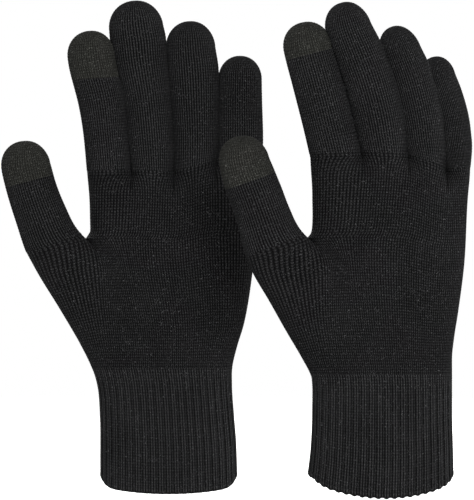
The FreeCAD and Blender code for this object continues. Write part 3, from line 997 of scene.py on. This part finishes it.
def cuff_ring(glove, z):
    """A whole ring of the cuff: front from the thumb side, then back, with its outward directions."""
    left = float(smooth(glove["thumb_edge"], z))
    right = float(smooth(glove["little_edge"], z))
    half = float(smooth(glove["depth"], z))
    count = RIBS * RIB_COLUMNS
    shares = np.arange(count // 2 + 1) / (count / 2)
    x, out = half_section(left, right, half, shares)
    ring_x = np.concatenate((x[:-1], x[:0:-1]))
    ring_y = np.concatenate((-out[:-1], out[:0:-1]))
    level = hem_height(glove, ring_x, left, right, ring_y > 0)
    return ring_x, ring_y, level


def make_cuff(glove, place):
    """The ribbed cuff, its rolled hem and the elastic threads inside it."""
    side = glove["side"]
    count = RIBS * RIB_COLUMNS
    rows = round((KNIT_START - glove["hem"]["low"] - HEM_TALL) / ROW)
    rings = []
    for share in np.linspace(1, 0, rows + 1):
        nominal = mix(KNIT_START, glove["hem"]["low"] + HEM_TALL * HEM_HANGS, share)
        x, y, hem = cuff_ring(glove, nominal)
        rings.append(np.stack((x, y, mix(KNIT_START, hem + HEM_TALL * HEM_HANGS, share)), 1))
    points = np.array(rings)
    outward = outward_of(points, True)
    outward[:, :, 2] = 0
    outward = outward / np.linalg.norm(outward, axis=2, keepdims=True)
    closed = np.concatenate((points, points[:, :1]), 1)
    facing = np.concatenate((outward, outward[:, :1]), 1)
    phase = np.arange(count + 1) / RIB_COLUMNS
    height = closed[:, :, 2]
    uneven = 2.5 * np.sin(np.floor(phase) * 2.4) + 1.5 * np.sin(np.floor(phase) * 0.9)
    ribbed = ease((KNIT_START - height - 1.5 + uneven * 0.5) / RIB_FADE)
    rib = np.stack((np.broadcast_to(phase, height.shape), ribbed, np.zeros_like(height)), 2)
    wale = phase * 3
    knit = Knit()
    knit.grid(closed, facing, wale, np.arange(rows + 1) / 2, 1.0, rib=rib)
    sparse = thinned(rows, 6)
    inner = closed[sparse] - facing[sparse] * WALL
    knit.grid(inner, facing[sparse], wale, sparse / 2, 0, rib=rib[sparse] * 0.6, flip=True, layer=1)
    knit.rim(closed[0], inner[0], wale, flip=True)
    knit.rim(closed[-1], inner[-1], wale, flip=False)
    cuff = knit.build(side + "_cuff_rib", place)
    grown(cuff, RELIEF, RIBBED, wale_relief=WALE_RELIEF * MM, loop_relief=LOOP_RELIEF * MM,
          rib_depth=RIB_DEPTH * MM)
    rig.blend(cuff, side + "_hand", side + "_cuff", start=place((0, 0, 0.5)), end=place((0, 0, -26)))
    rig.replaces(cuff, side + "_cuff")
    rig.slot(cuff, "rib_knit")
    make_hem(glove, place, closed[0], facing[0], phase)
    make_elastic(glove, place)


def make_hem(glove, place, ring, facing, phase):
    """The rolled edge round the cuff's opening."""
    turn = np.linspace(0, 2 * math.pi, 17)
    wave = glove["hem"]["scallop"] * np.cos(phase * 2 * math.pi - 2 * math.pi / 3)
    tall = HEM_TALL / 2 * (1 + 0.16 * wave)
    rows = []
    for angle in turn:
        reach = -WALL / 2 + (WALL / 2 + 0.15) * math.sin(angle) * (1 + 0.1 * wave)
        lift = HEM_TALL * (0.5 - HEM_HANGS) - tall * math.cos(angle)
        rows.append(ring + facing * reach[:, None] + np.stack((0 * lift, 0 * lift, lift), 1))
    points = np.array(rows)
    middle = ring - facing * WALL / 2
    middle[:, 2] += HEM_TALL * (0.5 - HEM_HANGS)
    outward = points - middle
    outward = outward / np.linalg.norm(outward, axis=2, keepdims=True)
    knit = Knit()
    depth = np.broadcast_to(np.clip(np.sin(turn), 0, 1)[:, None], points.shape[:2])
    rib = np.stack((np.broadcast_to(phase, points.shape[:2]), depth, np.zeros(points.shape[:2])), 2)
    knit.grid(points, outward, phase * 3, turn * 0.8, 0.8, rib=rib)
    hem = knit.build(glove["side"] + "_hem_roll", place)
    grown(hem, RELIEF, RIBBED, wale_relief=WALE_RELIEF * MM, loop_relief=LOOP_RELIEF * MM,
          rib_depth=RIB_DEPTH * MM * 0.8)
    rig.ride(hem, glove["side"] + "_cuff")
    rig.replaces(hem, glove["side"] + "_cuff_hem")
    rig.slot(hem, "rib_knit")


def make_elastic(glove, place):
    """Round elastic threads just inside the cuff's wall."""
    low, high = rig.box(glove["side"] + "_cuff_elastic")
    base = place(np.zeros(3))[2]
    radius = THREAD_WIDTH / 2
    heights = np.linspace((low.z - base) / MM + radius, (high.z - base) / MM - radius, THREADS)
    points, edges = [], []
    for height in heights:
        x, y, level = cuff_ring(glove, height)
        ring = np.stack((x, y, np.maximum(height, level + HEM_TALL)), 1)[::4]
        facing = outward_of(np.array([ring, ring + (0, 0, 1)]), True)[0]
        start = len(points)
        points += list(ring - facing * (WALL + radius * 0.6))
        edges += [(start + i, start + (i + 1) % len(ring)) for i in range(len(ring))]
    mesh = bpy.data.meshes.new(glove["side"] + "_elastic_threads")
    mesh.from_pydata(place(np.array(points)).tolist(), edges, [])
    threads = bpy.data.objects.new(mesh.name, mesh)
    bpy.context.scene.collection.objects.link(threads)
    grown(threads, ROUND_THREAD, THREAD, thread_radius=radius * MM)
    side = glove["side"]
    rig.blend(threads, side + "_hand", side + "_cuff", start=place((0, 0, 0.5)), end=place((0, 0, -26)))
    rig.replaces(threads, side + "_cuff_elastic")
    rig.slot(threads, "elastic_thread")


def make_glove(glove):
    body, web_row, rows, digits = glove_surface(glove)
    place = placement_of(glove)
    hand = make_hand(glove, body, web_row, rows, digits, place)
    grown(hand, RELIEF, PLAIN, wale_relief=WALE_RELIEF * MM, loop_relief=LOOP_RELIEF * MM)
    side = glove["side"]
    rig.ride(hand, side + "_hand")
    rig.replaces(hand, side + "_hand", side + "_wrist_sleeve", *[f"{side}_{name}_root" for name in digits])
    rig.slot(hand, "black_knit")
    make_digit_pieces(glove, digits, place)
    make_cuff(glove, place)


# ---- the studio ----

def lamp(name, spot, aim, size, watts):
    light = bpy.data.lights.new(name, "AREA")
    light.shape, light.size, light.energy = "DISK", size, watts
    made = bpy.data.objects.new(name, light)
    bpy.context.scene.collection.objects.link(made)
    made.location = spot
    made.rotation_mode = "QUATERNION"
    way = np.array(aim, float) - np.array(spot, float)
    made.rotation_quaternion = mathutils.Vector(way).to_track_quat("-Z", "Y")


def floor_paint():
    """Matt pale paint that shows as plain white and lends the room only a little of its light."""
    paint, tree = new_material("pale_floor")
    dim, bright = [
        tree.add("ShaderNodeBsdfPrincipled", sockets={
            "Base Color": (0.55, 0.55, 0.55, 1), "Roughness": 0.9, "Emission Color": (1, 1, 1, 1),
            "Emission Strength": glow})
        for glow in (0.1, 1.0)]
    seen = tree.add("ShaderNodeLightPath")
    mixed = tree.add("ShaderNodeMixShader", sockets={0: seen, 1: dim, 2: bright})
    tree.add("ShaderNodeOutputMaterial", sockets={"Surface": mixed})
    return paint


def make_studio():
    """A white floor and room, soft light from every side, and a long lens looking level."""
    scene = bpy.context.scene
    scene.view_settings.view_transform = "Standard"
    world = bpy.data.worlds.new("white_room")
    world.use_nodes = True
    tree = Tree(world.node_tree)
    seen = tree.add("ShaderNodeLightPath")
    background = world.node_tree.nodes["Background"]
    background.inputs["Color"].default_value = (1, 1, 1, 1)
    world.node_tree.links.new((0.22 + 0.78 * seen).socket, background.inputs["Strength"])
    scene.world = world
    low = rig.bounds()[0]
    floor_mesh = bpy.data.meshes.new("floor")
    reach = 4.0
    floor_mesh.from_pydata([(-reach, -reach, 0), (reach, -reach, 0), (reach, reach, 0), (-reach, reach, 0)],
                           [], [(0, 1, 2, 3)])
    floor_mesh.transform(mathutils.Matrix.Translation((0, 0, low.z - 0.0005)))
    floor = bpy.data.objects.new("floor", floor_mesh)
    scene.collection.objects.link(floor)
    floor_mesh.materials.append(floor_paint())
    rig.stage(floor)
    centre = (0.0345, 0, 0.0605)
    lamp("front_soft", (0.4, -2.4, 0.9), centre, 2.0, 70)
    lamp("back_soft", (-0.6, 2.4, 1.0), centre, 2.0, 60)
    lamp("right_soft", (2.6, 0.2, 0.6), centre, 1.4, 28)
    lamp("left_soft", (-2.6, 0.2, 0.6), centre, 1.4, 10)
    lamp("top_soft", (0.2, 0.3, 1.8), centre, 1.2, 6)
    lens = bpy.data.cameras.new("long_lens")
    lens.lens = 36 * VIEW_DISTANCE / VIEW_TALL
    lens.clip_end = 50
    camera = bpy.data.objects.new("long_lens", lens)
    scene.collection.objects.link(camera)
    camera.location = (centre[0], -VIEW_DISTANCE, centre[2])
    camera.rotation_euler = (math.radians(90), 0, 0)
    scene.camera = camera


for one in (LEFT, RIGHT):
    make_glove(one)
make_studio()

with open("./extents.json", "w") as sizes:
    json.dump({"cad": [list(c) for c in cad_box], "visual": [list(c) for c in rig.bounds()]}, sizes)
